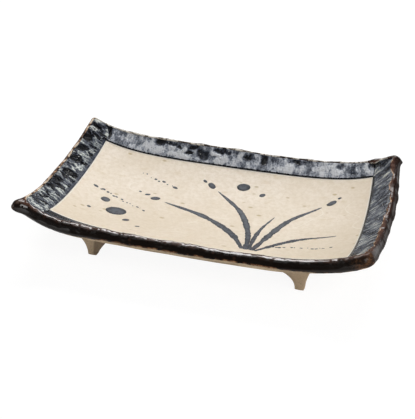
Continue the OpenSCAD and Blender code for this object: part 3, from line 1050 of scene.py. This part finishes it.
def panel(material):
    """The cream coat, with a slight lip along its edge."""
    us = lines(-line_u(END_BORDER), line_u(END_BORDER), PANEL_STEP / HALF_LENGTH)
    vs = lines(-line_v(FRONT_BORDER), line_v(REAR_BORDER), PANEL_STEP / HALF_DEPTH)
    u, v = np.meshgrid(us, vs)
    margin = np.minimum(
        (line_u(END_BORDER) - np.abs(u)) * HALF_LENGTH,
        np.minimum(line_v(REAR_BORDER) - v, v + line_v(FRONT_BORDER)) * HALF_DEPTH,
    )
    lip = 0.00025 * np.exp(-((margin - 0.0006) / 0.0006) ** 2)
    height = panel_height(u, v) + lip * smooth(margin, 0, 0.0006)
    lower = at(u, v, -SEAT)
    piece, used = sheet_piece("panel_coat", us, vs, at(u, v, height), [], lower, skip=4)
    store(piece, "margin", sheet_attribute(margin, used))
    piece.data.materials.append(material)
    return piece


# Ink on the panel: arching blades of grass and their seeds. A blade has points from root to tip, along
# X and Y, and its width at the root, the middle and the tip.
BLADES = (
    (((0.040, -0.052), (0.022, -0.024), (-0.010, -0.002), (-0.052, 0.010)), (0.0034, 0.0062, 0.0012)),
    (((0.043, -0.053), (0.036, -0.018), (0.020, 0.014), (-0.008, 0.038)), (0.0042, 0.0056, 0.0011)),
    (((0.048, -0.053), (0.055, -0.020), (0.068, 0.010), (0.092, 0.032)), (0.0040, 0.0052, 0.0012)),
    (((0.051, -0.053), (0.066, -0.034), (0.086, -0.020), (0.114, -0.013)), (0.0030, 0.0042, 0.0010)),
    (((0.046, -0.052), (0.044, -0.030), (0.046, -0.008), (0.053, 0.012)), (0.0024, 0.0036, 0.0008)),
)
# A seed or drop: its place along X and Y, its half width, how much longer it is than wide, and its turn
# in degrees
DROPS = (
    (-0.062, 0.0130, 0.0025, 1.9, 12),
    (-0.071, 0.0165, 0.0013, 2.0, 20),
    (-0.079, 0.0185, 0.0009, 1.5, 0),
    (-0.016, 0.0440, 0.0028, 1.7, 140),
    (-0.024, 0.0485, 0.0013, 1.8, 150),
    (0.100, 0.0380, 0.0027, 1.8, 35),
    (0.106, 0.0445, 0.0011, 1.5, 40),
    (-0.088, -0.0210, 0.0066, 1.45, 8),
    (-0.104, -0.0070, 0.0036, 1.25, -10),
    (-0.074, -0.0330, 0.0021, 1.6, 25),
    (-0.112, -0.0270, 0.0014, 1.3, 0),
    (-0.060, -0.0410, 0.0012, 1.8, 15),
    (0.014, 0.0480, 0.0046, 1.4, 5),
    (0.034, 0.0410, 0.0023, 1.3, 30),
)
# A flick of fine drops: its ends along X and Y, and the number of drops
FLICKS = (
    ((-0.118, 0.0080), (-0.062, -0.0100), 15),
    ((0.062, -0.0400), (0.118, -0.0340), 13),
    ((-0.050, 0.0340), (-0.090, 0.0460), 9),
)
INK_LIFT = 0.00006
INK_DEPTH = 0.0002


def on_panel(x, y, lift):
    """The point of the panel's face over a place along X and Y, raised by a lift."""
    u, v = x / HALF_LENGTH, y / HALF_DEPTH
    for _ in range(4):
        u, v = x / (HALF_LENGTH + END_BOW * (1 - v * v)), y / (HALF_DEPTH + SIDE_BOW * (1 - u * u))
    return at(u, v, panel_height(u, v) + lift)


def ink_blades(material):
    """Brushed blades, as ribbons that lie on the panel."""
    points, faces, pooled = [], [], []
    for number, (route, widths) in enumerate(BLADES):
        t = np.linspace(-1, 1, 220)
        x, y = (along([p[k] for p in route], t) for k in (0, 1))
        step = np.stack([np.gradient(x), np.gradient(y)], -1)
        side = unit(np.stack([-step[:, 1], step[:, 0]], -1))
        uneven = 1 + 0.22 * wander(t, 60 + number, 9) + 0.12 * wander(t, 70 + number, 40)
        half = along(widths, t) / 2 * uneven
        half *= np.sqrt(np.clip((1 + t) * 30, 0, 1) * np.clip((1 - t) * 12, 0, 1)) + 0.02
        base = len(points)
        across = np.linspace(-1, 1, 9)
        around = [(k, INK_LIFT) for k in across] + [(k, -INK_DEPTH) for k in across[::-1]]
        for k, height in around:
            edge = half * k + 0.00012 * wander(t + 3 * k, 80 + number, 50)
            points.extend(on_panel(x + side[:, 0] * edge, y + side[:, 1] * edge, height))
            pooled.extend(np.full(t.shape, abs(k) ** 2))
        row = len(t)
        loop = base + np.arange(len(around)) * row
        for k in range(len(around)):
            a = loop[k] + np.arange(row - 1)
            b = loop[(k + 1) % len(around)] + np.arange(row - 1)
            faces += np.stack([a, a + 1, b + 1, b], -1).tolist()
        faces += [loop.tolist(), (loop[::-1] + row - 1).tolist()]
    piece = new_piece("ink_blades", np.array(points), faces)
    store(piece, "pooled", np.array(pooled))
    piece.data.materials.append(material)
    return piece


def fallen_drops():
    """Geometry tree that lays a drop of ink at each point, and presses it onto the panel."""
    inputs = {"Panel": "Object", "Ragged": 0.0003, "Lift": INK_LIFT, "Depth": INK_DEPTH}
    nodes, given, out = geometry_tree("fallen_drops", inputs)
    points = nodes.add("GeometryNodeMeshToPoints", {"Mesh": given["Geometry"]}).outputs["Points"]
    sizes = {"Vertices": 26, "Side Segments": 1, "Fill Segments": 4, "Radius": 1.0, "Depth": 0.02}
    disc = nodes.add("GeometryNodeMeshCylinder", sizes, fill_type="TRIANGLE_FAN").outputs["Mesh"]
    place = nodes.add("GeometryNodeInputPosition").outputs["Position"]
    disc = stored(nodes, disc, "pooled", nodes.math("POWER", nodes.vector("LENGTH", place), 2.0))
    height = nodes.add("ShaderNodeSeparateXYZ", {0: place}).outputs["Z"]
    disc = stored(nodes, disc, "upper", nodes.math("GREATER_THAN", height, 0.0))

    def vector(x, y, z):
        return nodes.add("ShaderNodeCombineXYZ", {"X": x, "Y": y, "Z": z}).outputs["Vector"]

    size = attribute(nodes, "size")
    long = nodes.times(size, attribute(nodes, "longer"))
    turn = vector(0.0, 0.0, attribute(nodes, "turn"))
    drops = {"Points": points, "Instance": disc, "Rotation": turn, "Scale": vector(long, size, 1.0)}
    laid = nodes.add("GeometryNodeInstanceOnPoints", drops).outputs["Instances"]
    real = nodes.add("GeometryNodeRealizeInstances", {"Geometry": laid}).outputs["Geometry"]
    wobble = nodes.minus(nodes.noise(place, 0.0035, 2.0), 0.5)
    ragged = nodes.times(wobble, nodes.times(given["Ragged"], 6.0))
    shift = vector(ragged, nodes.times(ragged, -0.7), 0.0)
    real = nodes.add("GeometryNodeSetPosition", {"Geometry": real, "Offset": shift}).outputs["Geometry"]
    face = nodes.add("GeometryNodeObjectInfo", {"Object": given["Panel"]}).outputs["Geometry"]
    above = nodes.vector("ADD", place, (0.0, 0.0, 0.1))
    cast = nodes.add("GeometryNodeRaycast", {"Target Geometry": face, "Source Position": above})
    nodes.feed_all(cast, {"Ray Direction": (0.0, 0.0, -1.0), "Ray Length": 0.3})
    full = nodes.plus(given["Lift"], given["Depth"])
    lift = nodes.minus(nodes.times(full, attribute(nodes, "upper")), given["Depth"])
    rise = nodes.vector("SCALE", cast.outputs["Hit Normal"], scale=lift)
    raised = nodes.vector("ADD", cast.outputs["Hit Position"], rise)
    pressed = nodes.add("GeometryNodeSetPosition", {"Geometry": real, "Position": raised}).outputs["Geometry"]
    smooth_faces = nodes.add("GeometryNodeSetShadeSmooth", {"Geometry": pressed}).outputs["Geometry"]
    finished(nodes, smooth_faces, given["Material"], out)
    return nodes


def ink_drops(face, material):
    """Seeds and flicks of drops, laid on the panel's face."""
    rows = list(DROPS)
    draw = np.random.default_rng(91)
    for (x0, y0), (x1, y1), number in FLICKS:
        heading = math.degrees(math.atan2(y1 - y0, x1 - x0))
        for k in range(number):
            share = (k + draw.uniform(-0.35, 0.35)) / number
            size = draw.uniform(0.0005, 0.0014) * (1 - 0.4 * share)
            x = x0 + (x1 - x0) * share + draw.normal(0, 0.0006)
            y = y0 + (y1 - y0) * share + draw.normal(0, 0.0008)
            rows.append((x, y, size, draw.uniform(1.0, 2.2), heading))
    table = np.array(rows)
    points = on_panel(table[:, 0], table[:, 1], INK_LIFT)
    piece = new_piece("ink_drops", points, [])
    store(piece, "size", table[:, 2])
    store(piece, "longer", table[:, 3])
    store(piece, "turn", np.radians(table[:, 4]))
    return work(piece, fallen_drops(), panel=face, material=material)


# Slab and feet
def held(u, v, inset):
    """Places (u, v) kept at least an inset away from the sheet's edge."""
    return np.clip(u, -line_u(inset), line_u(inset)), np.clip(v, -line_v(inset), line_v(inset))


def slab(material):
    """The dished sheet of clay, which stays back where the rim glaze covers it."""
    us = lines(-1, 1, SLAB_STEP / HALF_LENGTH)
    vs = lines(-1, 1, SLAB_STEP / HALF_DEPTH)
    u, v = np.meshgrid(us, vs)
    x, y = u * HALF_LENGTH, v * HALF_DEPTH
    order = edge_order(len(us), len(vs))
    edge_u, edge_v = u.ravel()[order], v.ravel()[order]
    sway = 0.0002 * wander((x + 0.5 * y) / WANDER_SPAN, 41, 16)
    sway = sway + 0.0002 * wander((y - 0.4 * x) / WANDER_SPAN, 42, 18)
    under = at(*held(u, v, EDGE_BEVEL), sway - SLAB_THICKNESS)
    trimmed = at(edge_u, edge_v, EDGE_BEVEL - SLAB_THICKNESS)
    trimmed += 0.0001 * wander(edge_u * 3 + edge_v * 2, 43, 20)[:, None] * upward(edge_u, edge_v)
    rings = [
        at(*held(edge_u, edge_v, COVERED_INSET), -0.35 * SLAB_THICKNESS),
        at(edge_u, edge_v, -0.42 * SLAB_THICKNESS),
        trimmed,
    ]
    top = at(*held(u, v, COVERED_INSET), -SEAT)
    piece, _ = sheet_piece("slab_body", us, vs, top, rings, under)
    piece.data.materials.append(material)
    return piece


# Painted shade on the inner side of each foot, by its side along X and along Y
FOOT_PAINTED_SHADE = {(-1, -1): 0.62, (1, -1): 0.1, (-1, 1): 0.2, (1, 1): 0.2}


def foot(name, side_x, side_y, material):
    """A flared foot, from a patch of the slab's underside down to a small flat sole."""
    around = 96
    turn = np.arange(around) * 2 * math.pi / around
    reach = 1 / np.maximum(np.abs(np.cos(turn)), np.abs(np.sin(turn)))
    soft = np.stack([np.cos(turn), np.sin(turn)], -1)
    square = soft * reach[:, None]
    middle = np.array([
        side_x * (HALF_LENGTH - FOOT_END_INSET),
        side_y * (HALF_DEPTH - FOOT_SIDE_INSET),
    ])
    inner_u = line_u(FOOT_END_INSET + ROOT_INNER_REACH)
    outer_u = line_u(FOOT_END_INSET - ROOT_OUTER_REACH)
    inner_v = line_v(FOOT_SIDE_INSET + ROOT_INNER_REACH)
    outer_v = line_v(FOOT_SIDE_INSET - ROOT_OUTER_REACH)
    sx = square[:, 0] * side_x
    sy = square[:, 1] * side_y
    u = side_x * (inner_u + outer_u + (outer_u - inner_u) * sx) / 2
    v = side_y * (inner_v + outer_v + (outer_v - inner_v) * sy) / 2
    root = at(u, v, SEAT - SLAB_THICKNESS)
    sole = square * (1 - FOOT_ROUND_SHARE) + soft * FOOT_ROUND_SHARE
    inner = smooth(-side_x * np.cos(turn), 0.3, 0.8)
    inner_power = INNER_FLARE_POWERS.get((side_x, side_y), FLARE_POWER)
    power = FLARE_POWER + (inner_power - FLARE_POWER) * inner
    seed = 50 + side_x + 3 * side_y
    rings = []
    count = 40
    for r in range(count + 1):
        share = r / count
        height = SOLE_BEVEL + (root[:, 2] - SOLE_BEVEL) * (1 - share)
        rise = (1 - share) ** power
        start = middle + sole * SOLE_WIDTH / 2
        flat = start + (root[:, :2] - start) * rise[:, None]
        wobble = 1 + 0.02 * wander(turn / (2 * math.pi) + share * 0.35, seed, 6)[:, None]
        flat = middle + (flat - middle) * (1 + (wobble - 1) * math.sin(math.pi * share))
        rings.append(np.column_stack([flat, height]))
    for drop, inset in ((0.55, 0.12), (0.85, 0.45), (1.0, 1.0), (1.0, 2.2)):
        flat = middle + sole * (SOLE_WIDTH / 2 - inset * SOLE_BEVEL)
        rings.append(np.column_stack([flat, np.full(around, SOLE_BEVEL * (1 - drop))]))
    points = np.concatenate(rings)
    faces = [list(range(around))]
    for r in range(len(rings) - 1):
        a = r * around + np.arange(around)
        b = r * around + (np.arange(around) + 1) % around
        faces += np.stack([a, a + around, b + around, b], -1).tolist()
    last = (len(rings) - 1) * around
    faces.append([last + k for k in range(around - 1, -1, -1)])
    piece = new_piece(name, points, faces)
    # Painted shade: the inner side of each foot is darkened
    faces_in = smooth(-side_x * np.cos(turn), 0.2, 0.42)
    store(piece, "painted_shade", np.tile(faces_in * FOOT_PAINTED_SHADE[side_x, side_y], len(rings)))
    piece.data.materials.append(material)
    return piece


# Camera and light, at the photograph's viewing angle
CAMERA_TARGET = Vector((-0.010131, 0.010155, 0.015))
CAMERA_AZIMUTH = math.radians(17.858)
CAMERA_ELEVATION = math.radians(32.627)
CAMERA_ROLL = math.radians(-1.205)
CAMERA_DISTANCE = 0.887694
CAMERA_LENS = 82.764


def camera():
    """Looks at the plate from the photograph's angle."""
    back = Vector((
        math.sin(CAMERA_AZIMUTH) * math.cos(CAMERA_ELEVATION),
        -math.cos(CAMERA_AZIMUTH) * math.cos(CAMERA_ELEVATION),
        math.sin(CAMERA_ELEVATION),
    ))
    right = back.cross(Vector((0, 0, -1))).normalized()
    above = back.cross(right)
    turned_right = math.cos(CAMERA_ROLL) * right + math.sin(CAMERA_ROLL) * above
    turned_up = math.cos(CAMERA_ROLL) * above - math.sin(CAMERA_ROLL) * right
    data = bpy.data.cameras.new("camera")
    data.lens = CAMERA_LENS
    view = bpy.data.objects.new("camera", data)
    axes = Matrix((turned_right, turned_up, back)).transposed()
    view.matrix_world = Matrix.Translation(CAMERA_TARGET + CAMERA_DISTANCE * back) @ axes.to_4x4()
    bpy.context.scene.collection.objects.link(view)
    bpy.context.scene.camera = view


# Name, place, size and brightness of each lamp, and the place at which they all aim
SOFTBOXES = (
    ("rear_softbox", (-0.12, 0.98, 0.98), (1.2, 0.45), 9.1),
    ("top_softbox", (-0.35, 0.40, 1.2), (1.2, 0.6), 0.8),
    ("front_softbox", (-0.32, -0.12, 1.3), (1.0, 0.4), 0.5),
    ("right_softbox", (1.15, -0.65, 1.0), (0.9, 0.9), 5.6),
    ("left_softbox", (-1.2, -0.45, 0.9), (0.9, 0.9), 0.2),
    ("low_softbox", (-1.45, -0.65, 0.35), (0.8, 0.5), 1.3),
)
LIGHT_AIM = Vector((0, 0, 0.03))
FLOOR_HALF = 6.0


def softbox(name, place, size, brightness):
    """A rectangular lamp whose face has a given brightness."""
    data = bpy.data.lights.new(name, "AREA")
    data.shape = "RECTANGLE"
    data.size, data.size_y = size
    data.energy = brightness * math.pi * size[0] * size[1]
    lamp = bpy.data.objects.new(name, data)
    lamp.location = place
    lamp.rotation_euler = (LIGHT_AIM - Vector(place)).to_track_quat("-Z", "Y").to_euler()
    bpy.context.scene.collection.objects.link(lamp)


def studio():
    """A pale floor in a dim room, with soft lamps."""
    scene = bpy.context.scene
    scene.view_settings.view_transform = "Standard"
    world = bpy.data.worlds.new("studio")
    world.use_nodes = True
    scene.world = world
    nodes = Nodes(world.node_tree)
    background = world.node_tree.nodes["Background"]
    heading = nodes.add("ShaderNodeTexCoord").outputs["Generated"]
    height = nodes.add("ShaderNodeSeparateXYZ", {0: heading}).outputs["Z"]
    nodes.feed(background.inputs["Color"], (1.0, 1.0, 1.0, 1.0))
    # The room is brightest near the floor and darkest overhead
    low = nodes.remap(height, 0.0, 0.3, 0.16, 0.10)
    high = nodes.remap(height, 0.4, 0.8, 0.0, 0.07)
    nodes.feed(background.inputs["Strength"], nodes.minus(low, high))
    for lamp in SOFTBOXES:
        softbox(*lamp)
    material, nodes, shader, place = new_material("studio_floor")
    path = nodes.add("ShaderNodeLightPath").outputs
    coat(nodes, shader, (0.9, 0.9, 0.9, 1.0), 0.9, 0.0)
    mirrored = nodes.math("MAXIMUM", path["Is Glossy Ray"], path["Is Transmission Ray"])
    seen = nodes.math("MAXIMUM", path["Is Camera Ray"], mirrored)
    glow = nodes.add("ShaderNodeEmission", {"Color": (1.0, 1.0, 1.0, 1.0), "Strength": 1.08})
    far = nodes.vector("LENGTH", place)
    share = nodes.times(seen, nodes.remap(far, 1.2, 5.0, 0.85, 0.2))
    mix = nodes.add("ShaderNodeMixShader", {0: share, 1: shader.outputs[0], 2: glow.outputs[0]})
    output = next(n for n in material.node_tree.nodes if n.type == "OUTPUT_MATERIAL")
    nodes.feed(output.inputs["Surface"], mix.outputs[0])
    points = FLOOR_HALF * np.array([(-1, -1, 0), (1, -1, 0), (1, 1, 0), (-1, 1, 0)], float)
    floor = new_piece("floor", points, [[0, 1, 2, 3]])
    floor.data.materials.append(material)


# The plate
def plate():
    """Makes each piece, gives it its body and hides the nodes that it replaces."""
    clay = bare_clay()
    iron = iron_glaze()
    cream = cream_glaze()
    relief = torn_relief()

    def keep(piece, slot, *nodes):
        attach(piece, "root")
        if nodes:
            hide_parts(*nodes)

    keep(slab(clay), "bare_clay", "slab")
    for side_y, front in ((-1, "front"), (1, "rear")):
        for side_x, left in ((-1, "left"), (1, "right")):
            name = f"{front}_{left}_foot"
            keep(foot(f"{name}_clay", side_x, side_y, clay), "bare_clay", name)
    step_u, step_v = STRIP_STEP / HALF_LENGTH, STRIP_STEP / HALF_DEPTH
    end_us = lines(line_u(END_BORDER), 1, step_u)
    all_vs = lines(-1, 1, step_v)
    mid_us = lines(-line_u(END_BORDER), line_u(END_BORDER), step_u)
    rear_vs = lines(line_v(REAR_BORDER), 1, step_v)
    front_vs = lines(-1, -line_v(FRONT_BORDER), step_v)
    # The first value of each glaze, its tilt, is partly painted light and shade: the rear strip is made paler
    # and the front strip darker
    glazes = {
        "left": (-0.12, 0.32, 0.0016, (138, 144, 146), (214, 218, 214), 0.14),
        "right": (-0.05, 0.4, 0.0010, (140, 143, 142), (186, 186, 178), 0.3),
        "rear": (0.13, 0.5, 0.0017, (150, 155, 165), (196, 198, 202), 0.3),
        "front": (-0.25, 0.3, 0.0012, (142, 146, 142), (200, 203, 196), 0.3),
    }
    glazes = {side: border_glaze(f"{side}_border_glaze", *values) for side, values in glazes.items()}
    # For each strip: its grid, the way across it, its line at the panel and the widths of the smooth glaze
    # and of the black line beside the panel
    grids = {
        "left": (-end_us[::-1], all_vs, "u", -line_u(END_BORDER), 0.0026, NO_BAND),
        "right": (end_us, all_vs, "u", line_u(END_BORDER), 0.0, 0.0022),
        "rear": (mid_us, rear_vs, "v", line_v(REAR_BORDER), 0.0, 0.0011),
        "front": (mid_us, front_vs, "v", -line_v(FRONT_BORDER), 0.0030, 0.0010),
    }
    # For each strip: thickness, then the height, grain, stretch, angle, chips, ridges, blotches, streaks,
    # size of the streaks and seed of its relief
    titles = "thickness height grain stretch angle chips ridges blotches streaks streak_size seed".split()
    tears = {
        "left": (STRIP_HEIGHT, 0.0026, 0.0042, 2.0, 0.3, 0.6, 0.35, 0.2, 0.08, 0.0011, 1.0),
        "right": (STRIP_HEIGHT, 0.0013, 0.0030, 3.0, -0.7, 0.12, 0.1, 0.14, 0.38, 0.0017, 2.0),
        "rear": (STRIP_HEIGHT, 0.0018, 0.0045, 1.8, 1.55, 0.14, 0.06, 0.26, 0.05, 0.0011, 3.0),
        "front": (0.0010, 0.0008, 0.0040, 1.6, 0.3, 0.2, 0.1, 0.2, 0.1, 0.0011, 4.0),
    }
    for side, grid in grids.items():
        values = dict(zip(titles, tears[side]))
        strip = border_strip(f"{side}_border_relief", *grid, relief, glazes[side], **values)
        keep(strip, "border_glaze", f"{side}_border_strip")
    face = panel(cream)
    keep(face, "cream_glaze", "panel_glaze")
    ink = ink_wash()
    keep(ink_blades(ink), "border_glaze")
    keep(ink_drops(face, ink), "border_glaze")
    keep(rim_glaze(iron), "iron_glaze", "rim_glaze")


camera()
studio()
plate()
